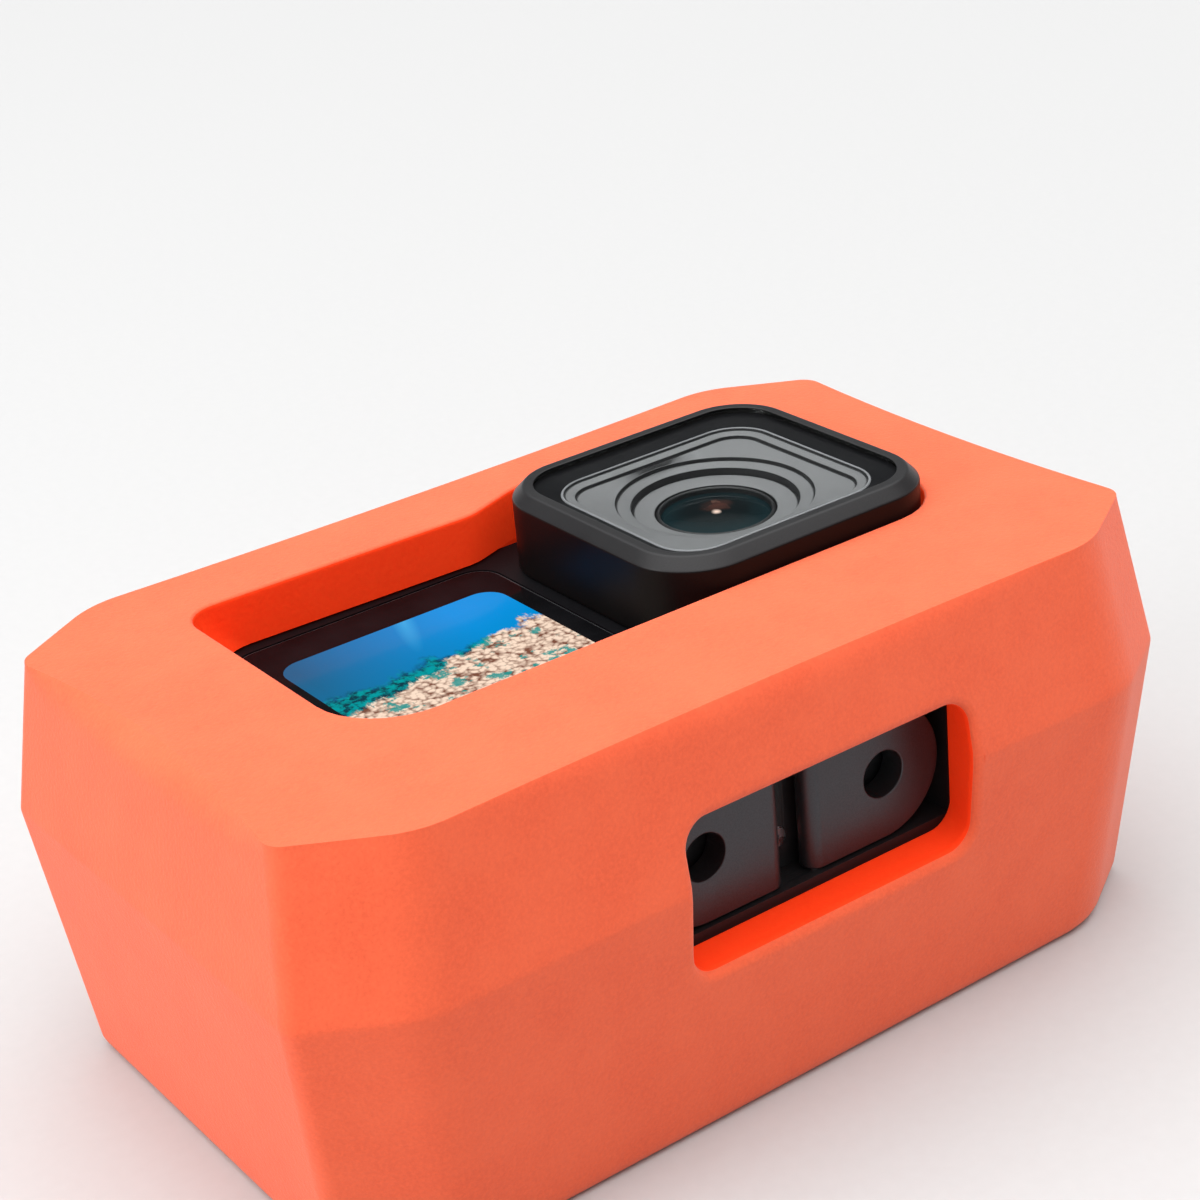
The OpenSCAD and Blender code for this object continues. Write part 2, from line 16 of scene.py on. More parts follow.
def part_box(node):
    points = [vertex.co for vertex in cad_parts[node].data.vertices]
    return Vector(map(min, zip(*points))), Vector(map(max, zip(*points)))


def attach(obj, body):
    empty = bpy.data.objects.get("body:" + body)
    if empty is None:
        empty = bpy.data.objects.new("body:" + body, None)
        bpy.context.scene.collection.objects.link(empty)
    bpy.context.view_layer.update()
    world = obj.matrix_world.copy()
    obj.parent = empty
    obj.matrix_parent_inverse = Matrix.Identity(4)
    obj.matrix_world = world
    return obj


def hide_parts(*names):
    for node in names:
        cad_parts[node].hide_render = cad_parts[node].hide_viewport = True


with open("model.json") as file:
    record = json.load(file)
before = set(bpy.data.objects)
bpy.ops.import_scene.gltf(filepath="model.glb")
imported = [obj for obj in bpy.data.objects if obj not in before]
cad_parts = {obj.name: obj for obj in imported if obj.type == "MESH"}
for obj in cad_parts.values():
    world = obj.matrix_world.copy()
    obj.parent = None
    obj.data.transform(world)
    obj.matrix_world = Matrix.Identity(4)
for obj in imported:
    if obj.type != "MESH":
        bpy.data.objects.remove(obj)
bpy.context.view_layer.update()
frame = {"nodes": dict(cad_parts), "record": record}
MM = 0.001
SMOOTH_BELOW = 35      # edges flatter than this many degrees are shaded smooth
CASE_SMOOTH_BELOW = 18


def span(node):
    """Lowest and highest corner of a CAD node, in millimetres."""
    lo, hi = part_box(node)
    return lo / MM, hi / MM


# ---------------------------------------------------------------- outlines

def rounded(points, radii, arc=8, edge=1, bow=None):
    """Closed outline with rounded corners. bow pulls the middle of each side inwards."""
    n = len(points)
    arcs = []
    for i in range(n):
        before, corner, after = (Vector(points[j % n]) for j in (i - 1, i, i + 1))
        u, v = (before - corner).normalized(), (after - corner).normalized()
        half = u.angle(v) / 2
        centre = corner + (u + v).normalized() * (radii[i] / math.sin(half))
        start = corner + u * (radii[i] / math.tan(half)) - centre
        turn = (math.pi - 2 * half) * (1 if u.cross(v) < 0 else -1)
        arcs.append([centre + Matrix.Rotation(turn * k / arc, 2) @ start
                     for k in range(arc + 1)])
    out = []
    for i, points_here in enumerate(arcs):
        out += points_here
        a, b = points_here[-1], arcs[(i + 1) % n][0]
        inward = Vector((a.y - b.y, b.x - a.x)).normalized()
        for k in range(1, edge + 1):
            t = k / (edge + 1)
            pull = bow[i] * 4 * t * (1 - t) if bow else 0
            out.append(a.lerp(b, t) + inward * pull)
    return out


def box_outline(x0, x1, y0, y1, r, **more):
    """Rounded rectangle between two corners, counter-clockwise."""
    return rounded([(x0, y0), (x1, y0), (x1, y1), (x0, y1)], [r] * 4, **more)


def polar(w, h, r, z, centre, n=176):
    """Ring of a rounded rectangle, or of a circle if r is half of both sides, sampled by angle."""
    a, b = w / 2, h / 2
    k = Vector((a - r, b - r))
    ring = []
    for i in range(n):
        t = 2 * math.pi * (i + 0.5) / n
        d = Vector((abs(math.cos(t)), abs(math.sin(t))))
        reach = min(a / max(d.x, 1e-9), b / max(d.y, 1e-9))
        hit = d * reach
        if hit.x > k.x and hit.y > k.y:
            reach = d.dot(k) + math.sqrt(max(0, d.dot(k) ** 2 - k.length_squared + r * r))
        ring.append((centre[0] + reach * math.cos(t), centre[1] + reach * math.sin(t), z))
    return ring


def at(outline, z):
    return [(p[0], p[1], z) for p in outline]


def loft(bm, rings, wrap=False, paint=None):
    """Quads between rings of equally many points. paint gives a material index for each strip."""
    loops = [[bm.verts.new(p) for p in ring] for ring in rings]
    pairs = list(zip(loops, loops[1:] + loops[:1]))
    for s, (a, b) in enumerate(pairs if wrap else pairs[:-1]):
        for i in range(len(a)):
            face = bm.faces.new((a[i - 1], a[i], b[i], b[i - 1]))
            face.material_index = paint[s] if paint else 0
    return loops


def fill(bm, loop, hole=(), paint=0):
    """Flat face inside a loop, or two faces that meet left and right of a hole."""
    if not hole:
        bm.faces.new(loop).material_index = paint
        return
    middle = sum((v.co for v in hole), Vector()) / len(hole)

    def nearest(ring, side):
        way = Vector((side, 0, 0))
        return min(range(len(ring)), key=lambda i: (ring[i].co - middle).angle(way))

    def run(ring, a, b):
        return [ring[(a + k) % len(ring)] for k in range((b - a) % len(ring) + 1)]

    right, left = ((nearest(loop, side), nearest(hole, side)) for side in (1, -1))
    for (a, p), (b, q) in ((right, left), (left, right)):
        bm.faces.new(run(loop, a, b) + run(hole, p, q)[::-1]).material_index = paint


def capped(bm, rings, paint=None):
    loops = loft(bm, rings, paint=paint)
    fill(bm, loops[0])
    fill(bm, loops[-1], paint=paint[-1] if paint else 0)
    return loops


# ---------------------------------------------------------------- pieces

def mesh_object(name, bm, sharp=SMOOTH_BELOW):
    bmesh.ops.recalc_face_normals(bm, faces=bm.faces)
    mesh = bpy.data.meshes.new(name)
    bm.to_mesh(mesh)
    bm.free()
    mesh.transform(Matrix.Scale(MM, 4))
    obj = bpy.data.objects.new(name, mesh)
    bpy.context.scene.collection.objects.link(obj)
    smooth(obj, sharp)
    return obj


def smooth(obj, sharp):
    obj.data.shade_smooth()
    obj.data.set_sharp_from_angle(angle=math.radians(sharp))


def piece(name, bm, body, materials, replaces=()):
    dress(mesh_object(name, bm), body, materials, replaces)


def dress(obj, body, materials, replaces=()):
    for material in materials[len(obj.data.materials):]:
        obj.data.materials.append(material)
    normals = obj.modifiers.new("normals", "WEIGHTED_NORMAL")
    normals.keep_sharp = True
    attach(obj, body)
    if replaces:
        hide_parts(*replaces)


def soften(name, width, segments=2, angle=38):
    """Small rounded edges on a CAD node, as modifiers that leave its mesh alone."""
    obj = frame["nodes"][name]
    weld = obj.modifiers.new("weld", "WELD")
    weld.merge_threshold = 1e-6
    bevel = obj.modifiers.new("bevel", "BEVEL")
    bevel.width = width * MM
    bevel.segments = segments
    bevel.limit_method = "ANGLE"
    bevel.angle_limit = math.radians(angle)
    bevel.use_clamp_overlap = True
    bevel.miter_outer = "MITER_ARC"
    normals = obj.modifiers.new("normals", "WEIGHTED_NORMAL")
    normals.keep_sharp = False


# ---------------------------------------------------------------- materials

def node(tree, kind, inputs=None, **settings):
    made = tree.nodes.new("ShaderNode" + kind)
    for key, value in settings.items():
        setattr(made, key, value)
    for key, value in (inputs or {}).items():
        if isinstance(value, bpy.types.NodeSocket):
            tree.links.new(value, made.inputs[key])
        else:
            made.inputs[key].default_value = value
    return made


def rgb(*c):
    return (*c, 1)


def start(name):
    """New material, its tree, its shader and the object's own coordinates in metres."""
    material = bpy.data.materials.new(name)
    material.use_nodes = True
    tree = material.node_tree
    shader = tree.nodes["Principled BSDF"]
    return material, tree, shader, node(tree, "TexCoord").outputs["Object"]


def noise(tree, where, size, detail=3.0, rough=0.55):
    """Noise whose grains are about size millimetres across."""
    return node(tree, "TexNoise", {"Vector": where, "Scale": 1 / (size * MM), "Detail": detail,
                                   "Roughness": rough}).outputs["Fac"]


def ramp(tree, value, lo, hi, out_lo=0.0, out_hi=1.0):
    return node(tree, "MapRange", {"Value": value, "From Min": lo, "From Max": hi,
                                   "To Min": out_lo, "To Max": out_hi}).outputs["Result"]


def mix(tree, factor, a, b):
    made = node(tree, "Mix", {"Factor": factor}, data_type="RGBA", blend_type="MIX")
    for socket, value in ((made.inputs[6], a), (made.inputs[7], b)):
        if isinstance(value, bpy.types.NodeSocket):
            tree.links.new(value, socket)
        else:
            socket.default_value = value
    return made.outputs[2]


def sums(tree, kind, a, b=0.5, c=0.5):
    return node(tree, "Math", {0: a, 1: b, 2: c}, operation=kind).outputs[0]


def bump(tree, shader, height, depth, strength=1.0):
    """Relief of depth millimetres."""
    made = node(tree, "Bump", {"Height": height, "Strength": strength, "Distance": depth * MM})
    tree.links.new(made.outputs[0], shader.inputs["Normal"])


def plastic(name, colour, rough, grain=0.25, depth=0.02, spread=0.25, metallic=0.0, coat=0.0,
            streak=None, shine=0.5):
    """Moulded or brushed surface: fine grain in relief, gloss and colour that vary slightly."""
    material, tree, shader, where = start(name)
    if streak:
        where = node(tree, "Mapping", {"Vector": where, "Scale": streak}).outputs[0]
    fine = noise(tree, where, grain, 4)
    broad = noise(tree, where, 9, 2)
    dark = rgb(*[c * (1 - spread) for c in colour])
    light = rgb(*[min(1, c * (1 + spread)) for c in colour])
    tint = mix(tree, ramp(tree, fine, 0.35, 0.65), dark, light)
    tint = mix(tree, ramp(tree, broad, 0.3, 0.7, 0, 0.35), tint, light)
    tree.links.new(tint, shader.inputs["Base Color"])
    gloss = sums(tree, "ADD", ramp(tree, broad, 0.3, 0.7, -0.05, 0.05),
                 ramp(tree, fine, 0.3, 0.7, rough - 0.06, rough + 0.06))
    tree.links.new(gloss, shader.inputs["Roughness"])
    shader.inputs["Metallic"].default_value = metallic
    shader.inputs["Coat Weight"].default_value = coat
    shader.inputs["Coat Roughness"].default_value = 0.05
    shader.inputs["Specular IOR Level"].default_value = shine
    bump(tree, shader, fine, depth)
    return material


def foam(name, low, high, cloud_tint, sheen=0.2, shine=0.4, glow=0.0):
    """Closed-cell foam: fine speckle, shallow cells and a soft sheen. glow is painted light, an
    emission in its own colour standing in for light through the foam.
    """
    material, tree, shader, where = start(name)
    speckle = noise(tree, where, 0.35, 5, 0.7)
    cloud = noise(tree, where, 7, 3)
    cells = node(tree, "TexVoronoi", {"Vector": where, "Scale": 1 / (0.45 * MM)},
                 feature="SMOOTH_F1").outputs["Distance"]
    base = mix(tree, ramp(tree, speckle, 0.3, 0.7), rgb(*low), rgb(*high))
    base = mix(tree, ramp(tree, cloud, 0.35, 0.7, 0, 0.3), base, rgb(*cloud_tint))
    tree.links.new(base, shader.inputs["Base Color"])
    tree.links.new(ramp(tree, speckle, 0.3, 0.7, 0.62, 0.8), shader.inputs["Roughness"])
    shader.inputs["Specular IOR Level"].default_value = shine
    shader.inputs["Sheen Weight"].default_value = sheen
    shader.inputs["Sheen Roughness"].default_value = 0.5
    tree.links.new(base, shader.inputs["Emission Color"])
    shader.inputs["Emission Strength"].default_value = glow
    shader.inputs["Sheen Tint"].default_value = rgb(1, 0.78, 0.70)
    height = sums(tree, "MULTIPLY_ADD", cells, 0.6, speckle)
    bump(tree, shader, height, 0.045)
    return material


def clear(name, tint, glare):
    """Clear glass: reflects more at a glancing angle, otherwise lets the view through."""
    material, tree, shader, where = start(name)
    tree.nodes.remove(shader)
    facing = node(tree, "LayerWeight", {"Blend": 0.5}).outputs["Facing"]
    share = sums(tree, "MULTIPLY_ADD", sums(tree, "POWER", facing, 5.0), glare, 0.025)
    smear = noise(tree, where, 6, 3)
    gloss = node(tree, "BsdfGlossy", {"Color": rgb(1, 1, 1),
                                      "Roughness": ramp(tree, smear, 0.3, 0.8, 0.02, 0.06)})
    through = node(tree, "BsdfTransparent", {"Color": rgb(*tint)})
    both = node(tree, "MixShader", {0: share, 1: through.outputs[0], 2: gloss.outputs[0]})
    tree.links.new(both.outputs[0], tree.nodes["Material Output"].inputs["Surface"])
    return material


def black_glass(name):
    """Glossy black panel glass with faint smears."""
    material, tree, shader, where = start(name)
    smear = noise(tree, where, 5, 4)
    tint = mix(tree, ramp(tree, smear, 0.3, 0.7),
               rgb(0.003, 0.003, 0.0035), rgb(0.006, 0.006, 0.007))
    tree.links.new(tint, shader.inputs["Base Color"])
    tree.links.new(ramp(tree, smear, 0.35, 0.75, 0.05, 0.22), shader.inputs["Roughness"])
    shader.inputs["Specular IOR Level"].default_value = 0.03
    return material


def picture(name, x0, y0, w, h, flip=False):
    """Lit display with a generic reef: water, light from above, coral along the bottom."""
    material, tree, shader, where = start(name)
    split = node(tree, "SeparateXYZ", {0: where})
    u = ramp(tree, split.outputs[0], x0 * MM, (x0 + w) * MM, *((1, 0) if flip else (0, 1)))
    v = ramp(tree, split.outputs[1], y0 * MM, (y0 + h) * MM)
    flat = node(tree, "CombineXYZ", {0: u, 1: v}).outputs[0]

    def pattern(scale, detail=4.0, rough=0.6, stretch=(1, 1, 1)):
        place = node(tree, "Mapping", {"Vector": flat, "Scale": stretch}).outputs[0]
        return node(tree, "TexNoise", {"Vector": place, "Scale": scale, "Detail": detail,
                                       "Roughness": rough}).outputs["Fac"]

    water = mix(tree, ramp(tree, u, 0.05, 0.75), rgb(0.015, 0.12, 0.26), rgb(0.0, 0.29, 0.76))
    water = mix(tree, ramp(tree, v, 0.9, 0.45, 0, 0.6), water, rgb(0.0, 0.20, 0.42))
    place = node(tree, "Mapping", {"Vector": flat, "Location": (0.58, 1.0, 0),
                                   "Rotation": (0, 0, -0.35), "Scale": (0.05, 0.30, 1)},
                 vector_type="TEXTURE").outputs[0]
    beam = node(tree, "VectorMath", {0: place}, operation="LENGTH").outputs[1]
    water = mix(tree, ramp(tree, beam, 1.0, 0.0, 0, 0.4), water, rgb(0.10, 0.62, 1.0))
    # far reef, dark with turquoise patches, then the lit coral bank in front of it
    ridge = sums(tree, "MULTIPLY_ADD", pattern(5, 5, 0.7, (1, 0.4, 1)), 0.34, 0.45)
    behind = ramp(tree, sums(tree, "SUBTRACT", ridge, v), -0.02, 0.03)
    far_tint = mix(tree, ramp(tree, pattern(17, 5, 0.7), 0.44, 0.56),
                   rgb(0.004, 0.045, 0.07), rgb(0.0, 0.32, 0.34))
    scene_tint = mix(tree, behind, water, far_tint)
    bank = sums(tree, "MULTIPLY_ADD", pattern(9, 6, 0.75, (1, 0.5, 1)), 0.30,
                ramp(tree, u, 0.15, 0.85, 0.33, 0.50))
    front = ramp(tree, sums(tree, "SUBTRACT", bank, v), -0.01, 0.012)
    wobble = node(tree, "TexNoise", {"Vector": flat, "Scale": 30.0, "Detail": 3.0}).outputs["Color"]
    warped = node(tree, "VectorMath", {0: wobble, 1: (0.035, 0.035, 0), 2: flat},
                  operation="MULTIPLY_ADD").outputs[0]
    polyps = node(tree, "TexVoronoi", {"Vector": warped, "Scale": 44.0}).outputs["Distance"]
    lit = ramp(tree, sums(tree, "MULTIPLY_ADD", pattern(15, 4, 0.7), 0.9, polyps), 0.80, 1.35)
    coral = mix(tree, lit, rgb(0.96, 0.74, 0.58), rgb(0.20, 0.075, 0.045))
    algae = ramp(tree, pattern(8, 5, 0.7), 0.54, 0.59, 0, 0.9)
    coral = mix(tree, algae, coral, rgb(0.0, 0.30, 0.28))
    scene_tint = mix(tree, front, scene_tint, coral)
    tree.links.new(mix(tree, 0.9, scene_tint, rgb(0, 0, 0)), shader.inputs["Base Color"])
    tree.links.new(scene_tint, shader.inputs["Emission Color"])
    shader.inputs["Emission Strength"].default_value = 0.85
    shader.inputs["Specular IOR Level"].default_value = 0.05
    shader.inputs["Roughness"].default_value = 0.12
    grid = node(tree, "TexChecker", {"Vector": where, "Scale": 1 / (0.12 * MM)}).outputs["Fac"]
    bump(tree, shader, grid, 0.002, 0.3)
    return material


def circuit(name):
    """Board: lacquered green with copper tracks below the lacquer and plated pads."""
    material, tree, shader, where = start(name)
    tracks = node(tree, "TexBrick", {"Vector": where, "Scale": 1 / (6 * MM), "Mortar Size": 0.03,
                                     "Color1": rgb(0, 0, 0), "Color2": rgb(0, 0, 0),
                                     "Mortar": rgb(1, 1, 1)}).outputs["Color"]
    pads = node(tree, "TexVoronoi", {"Vector": where, "Scale": 1 / (2.6 * MM)},
                distance="CHEBYCHEV").outputs["Distance"]
    pad = ramp(tree, pads, 0.17, 0.14)
    tint = mix(tree, tracks, rgb(0.004, 0.045, 0.018), rgb(0.015, 0.12, 0.05))
    tint = mix(tree, pad, tint, rgb(0.72, 0.50, 0.20))
    tree.links.new(tint, shader.inputs["Base Color"])
    tree.links.new(pad, shader.inputs["Metallic"])
    gloss = ramp(tree, noise(tree, where, 1.2), 0.3, 0.7, 0.28, 0.42)
    tree.links.new(gloss, shader.inputs["Roughness"])
    bump(tree, shader, pad, 0.04)
    return material


CASE = foam("foam_skin", (0.78, 0.085, 0.024), (0.90, 0.125, 0.042), (0.93, 0.15, 0.055))
# inner walls: a deeper, redder copy of the foam with painted glow, painted light for light bounced
# between them
CASE_INNER_GLOW = foam("foam_inner_painted_glow", (0.93, 0.040, 0.006), (0.98, 0.055, 0.009), (0.98, 0.06, 0.012),
                sheen=0, shine=0.08, glow=0.22)
HOUSING = plastic("housing_moulded", (0.028, 0.029, 0.031), 0.55, 0.22, 0.03)
FASCIA = plastic("fascia_moulded", (0.006, 0.006, 0.007), 0.45, 0.16, 0.012, shine=0.05)
COVER = plastic("cover_satin", (0.014, 0.014, 0.015), 0.36, 0.12, 0.008, shine=0.26)
COVER_SIDE = plastic("cover_side", (0.003, 0.003, 0.003), 0.40, 0.14, 0.008, shine=0.12)
PLATE = plastic("baffle_grey", (0.150, 0.150, 0.153), 0.50, 0.12, 0.008, 0.12)
# painted shade for the plate's risers
RISER_SHADE = plastic("baffle_shadow", (0.006, 0.006, 0.007), 0.65, 0.12, 0.008)
BORDER = plastic("baffle_border", (0.004, 0.004, 0.005), 0.45, 0.12, 0.006, shine=0.06)
# raised bead round the plate, painted lighter than the plate as its highlight line
BEAD_HIGHLIGHT = plastic("baffle_bead_painted_highlight", (0.25, 0.25, 0.26), 0.40, 0.12, 0.004, 0.1)
# painted highlight along the rounded edge of the display glass
GLASS_EDGE_HIGHLIGHT = plastic("panel_glass_edge_painted_highlight", (0.035, 0.035, 0.038), 0.35, 0.2, 0.002)
BLACK = plastic("black_moulded", (0.010, 0.010, 0.011), 0.45, 0.2, 0.015)
BUTTON = plastic("button_moulded", (0.035, 0.036, 0.038), 0.48, 0.2, 0.02)
GLASS = clear("cover_pane", (0.97, 0.98, 0.98), 0.35)
LENS = plastic("inner_lens_glass", (0.02, 0.03, 0.035), 0.08, 3, 0.001)
PANEL_GLASS = black_glass("panel_glass")
RUBBER = plastic("rubber_black", (0.012, 0.012, 0.012), 0.75, 0.4, 0.03)
SEAL = plastic("seal_silicone", (0.50, 0.07, 0.03), 0.55, 0.5, 0.02)
BOARD = circuit("board_lacquer")
CHIP = plastic("chip_epoxy", (0.010, 0.010, 0.011), 0.38, 0.1, 0.006)
CERAMIC = plastic("sensor_package", (0.22, 0.23, 0.25), 0.35, 0.3, 0.01)
WRAP = plastic("battery_wrap", (0.45, 0.46, 0.48), 0.32, 2.5, 0.05, 0.1, coat=0.3)
CARD = plastic("card_body", (0.02, 0.02, 0.022), 0.40, 0.3, 0.01)
STEEL = plastic("steel", (0.52, 0.53, 0.55), 0.28, 0.4, 0.006, 0.08, 1.0, streak=(0.15, 1, 1))
ALUMINIUM = plastic("aluminium_spun", (0.70, 0.71, 0.72), 0.36, 0.5, 0.01, 0.08, 1.0,
                    streak=(1, 0.1, 1))
GOLD = plastic("gold_contact", (0.83, 0.60, 0.25), 0.25, 0.4, 0.004, 0.08, 1.0)
FINGER = plastic("finger_anodised", (0.055, 0.057, 0.062), 0.38, 0.14, 0.01, 0.15, 0.75)
LED = plastic("led_lens", (0.35, 0.03, 0.02), 0.2, 0.4, 0.004, coat=0.5)

SLOTS = {
    "case_foam": CASE, "housing_plastic": HOUSING, "fascia_plastic": FASCIA, "cover_plastic": COVER,
    "baffle_plastic": PLATE, "black_plastic": BLACK, "button_plastic": BUTTON, "cover_glass": GLASS,
    "lens_glass": LENS, "display_glass": PANEL_GLASS, "display_panel": CHIP, "rear_panel": CHIP,
    "rubber": RUBBER, "seal_rubber": SEAL, "circuit_board": BOARD, "chip_epoxy": CHIP,
    "sensor_ceramic": CERAMIC, "battery_wrap": WRAP, "card_plastic": CARD, "steel": STEEL,
    "aluminium": ALUMINIUM, "gold_contact": GOLD, "finger_metal": FINGER, "led_lens": LED,
}
for part in frame["record"]["subparts"]:
    own = frame["nodes"][part["node"]]
    own.data.materials.clear()
    own.data.materials.append(SLOTS[part["material_slot"]])

# ---------------------------------------------------------------- foam case

FACE_W, FACE_H, DEPTH = 97, 58.6, 45    # front face's width and height, and the case's depth
CUT_X, CUT_Y = 10.5, 6.6                # how much of each side the cut corners take
SOFT_R, TIGHT_R = 10, 2.4               # radii where a cut meets a long and a short side
RIDGE, RIDGE_OUT = 28.5, 4.3            # height of the walls' ridge, and how far it stands out
UPPER_LEAN = 0.153     # how far the wall leans in for each mm above the ridge
LOWER_LEAN = 0.0996    # and below it
STEP_X = (0.6, 7.8)    # where the window's far edge steps beside the lens
ROOF_Z = 39.3          # top of the camera's pocket, at the camera's fascia
MID_Z = 26.7           # height of the openings' middle
POCKET_LOWER, POCKET_UPPER, POCKET_RIGHT = 27.3, 24.1, 40.1   # the pocket's walls at the openings


def wall_out(z):
    """How far the case's wall stands outside the front face at height z."""
    return RIDGE_OUT - (UPPER_LEAN * (z - RIDGE) if z > RIDGE else LOWER_LEAN * (RIDGE - z))


@functools.lru_cache
def octagon(grow, bow=None):
    """Outline of the case, grow mm outside its front face."""
    a, b = FACE_W / 2 + grow, FACE_H / 2 + grow
    points = [(a, b - CUT_Y), (a - CUT_X, b), (CUT_X - a, b), (-a, b - CUT_Y),
              (-a, CUT_Y - b), (CUT_X - a, -b), (a - CUT_X, -b), (a, CUT_Y - b)]
    return rounded(points, [TIGHT_R, SOFT_R, SOFT_R, TIGHT_R] * 2, arc=8, edge=9, bow=bow)


def octagon_point(i, grow):
    return octagon(round(grow, 3))[i]


def window(grow, left_in=0.0, far_left_r=3.5):
    """Opening in the front face, with a soft step in its upper edge beside the lens."""
    left, right, near, far = -34 - grow + left_in, 38.4 + grow, -12.9 - grow, 23.9 + grow
    points = [(left, near), (right, near), (right, far),
              (STEP_X[1], far), (STEP_X[0], far - 2.7), (left, far - 1.7)]
    radii = [8 + grow, 7.8 + grow, 7.8 + grow, 7, 7, far_left_r + grow]
    return rounded(points, radii, arc=8, edge=0)


def pocket(grow):
    """Hole for the camera, with 0.3 mm of room round its housing."""
    lo, hi = span("body_housing")
    g = 0.3 + grow
    return box_outline(lo.x - g, hi.x + g, lo.y - g, hi.y + g, 6 + g, edge=2)


def quarter(steps):
    """Angles of a quarter turn, from 0."""
    return [math.pi / 2 * k / steps for k in range(steps + 1)]


def foam_blank():
    """The case before its side openings are cut: outer walls, front window and camera pocket."""
    bm = bmesh.new()
    crease = octagon(1.8, (0, 0.7, 0, 2.3, 0, 0.6, 0, 1.0))
    # the crease softens where it bows away from the straight edge
    soft = [min(1, (a - b).length / 0.6) for a, b in zip(crease, octagon(1.8))]
    drops = [0.8 + 2.3 * k for k in soft]
    rings = []
    for k in range(7):
        s = k / 6
        ring = []
        for i, (c, drop) in enumerate(zip(crease, drops)):
            low, high = DEPTH - drop, DEPTH - 0.35 * drop
            a = Vector((c.x, c.y, DEPTH))
            b = Vector((*octagon_point(i, wall_out(high)), high))
            d = Vector((*octagon_point(i, wall_out(low)), low))
            ring.append(a * (1 - s) ** 2 + b * (2 * s * (1 - s)) + d * s * s)
        rings.append(ring)
    for z in (RIDGE + 9, RIDGE + 0.5, RIDGE + 0.15):
        rings.append(at(octagon(wall_out(z)), z))
    rings.append(at(octagon(RIDGE_OUT - 0.02), RIDGE))
    for z in (RIDGE - 0.2, RIDGE - 0.6, 12, 2.2):
        rings.append(at(octagon(wall_out(z)), z))
    for a in quarter(5)[1:]:
        rings.append(at(octagon(wall_out(1.9) - 1.5 * (1 - math.cos(a))), 1.9 - 1.9 * math.sin(a)))
    outer = loft(bm, rings)
    lip = [at(window(0.5 * (1 - math.sin(a))), DEPTH - 0.5 * (1 - math.cos(a))) for a in quarter(5)]
    lip.append(at(window(0), DEPTH - 0.9))
    lip.append(at(window(0, 0.6), DEPTH - 3))
    lip.append(at(window(0, 1.85, 5.1), ROOF_Z))
    # paint 1: the window's wall below its lip, and the pocket's walls and roof, get the foam's
    # painted glow
    inner = loft(bm, lip, paint=[0] * 3 + [1] * len(lip))
    well = [at(pocket(0), ROOF_Z), at(pocket(0), 1.2)]
    well += [at(pocket(0.8 * (1 - math.cos(a))), 0.8 * (1 - math.sin(a))) for a in quarter(5)]
    hole = loft(bm, well, paint=[1, 1] + [0] * 6)
    fill(bm, outer[0], inner[0])
    fill(bm, hole[0], inner[-1], paint=1)
    fill(bm, outer[-1], hole[-1])
    return bm


def side_cutter(outline, place, surface, inner, flare=1.3):
    """Solid that cuts an opening through a side wall and leaves rounded lips.

    outline(grow, depth) gives (along, height) pairs; place(along, height, out) gives a point;
    surface(height) is how far out the wall is there, and inner is where the pocket's wall is.
    """
    bm = bmesh.new()
    rings = []
    for out, grow in ((inner - 1.5, 0.5), (inner, 0.5), (inner + 0.15, 0.24), (inner + 0.5, 0)):
        rings.append([place(u, z, out) for u, z in outline(grow, out)])
    for a in quarter(6):
        grow, below = flare * (1 - math.cos(a)), flare * (1 - math.sin(a))
        rings.append([place(u, z, surface(z) - below)
                      for u, z in outline(grow, surface(MID_Z) - below)])
    rings.append([place(u, z, surface(z) + 1.5) for u, z in outline(flare + 0.4, surface(MID_Z))])
    # paint 1: the opening's inner walls get the foam's painted glow
    capped(bm, rings, [1] * 6 + [0] * 5)
    return mesh_object("cutter", bm)


finger_lo, finger_hi = span("mount_cradle")
finger_x = (finger_lo.x + finger_hi.x) / 2


def finger_outline(grow, out):
    """Opening for the mount fingers, narrower further out."""
    half = 19.0 - 0.315 * (out - POCKET_LOWER) + grow
    return box_outline(finger_x - half, finger_x + half, MID_Z - 8.1 - grow, MID_Z + 8.1 + grow,
                       2.6 + grow, edge=6)


def stadium_outline(centre, length, width):
    """Opening with half-round ends for a fingertip on a button."""
    def outline(grow, out):
        return box_outline(centre - length / 2 - grow, centre + length / 2 + grow,
                           MID_Z - width / 2 - grow, MID_Z + width / 2 + grow,
                           width / 2 + grow - 0.01, arc=14, edge=3)
    return outline


def channel(x0, x1, y0, y1):
    """Groove in the pocket's wall that lets a button pass when the camera slides out."""
    bm = bmesh.new()
    rings = [at(box_outline(x0 - g, x1 + g, y0 - g, y1 + g, 0.6 + g), z)
             for z, g in ((-1, 0.8), (0, 0.8), (0.25, 0.35), (0.8, 0), (MID_Z, 0))]
    # paint 1: the channel's deeper walls get the foam's painted glow
    capped(bm, rings, [0, 0, 0, 1])
    return mesh_object("cutter", bm)


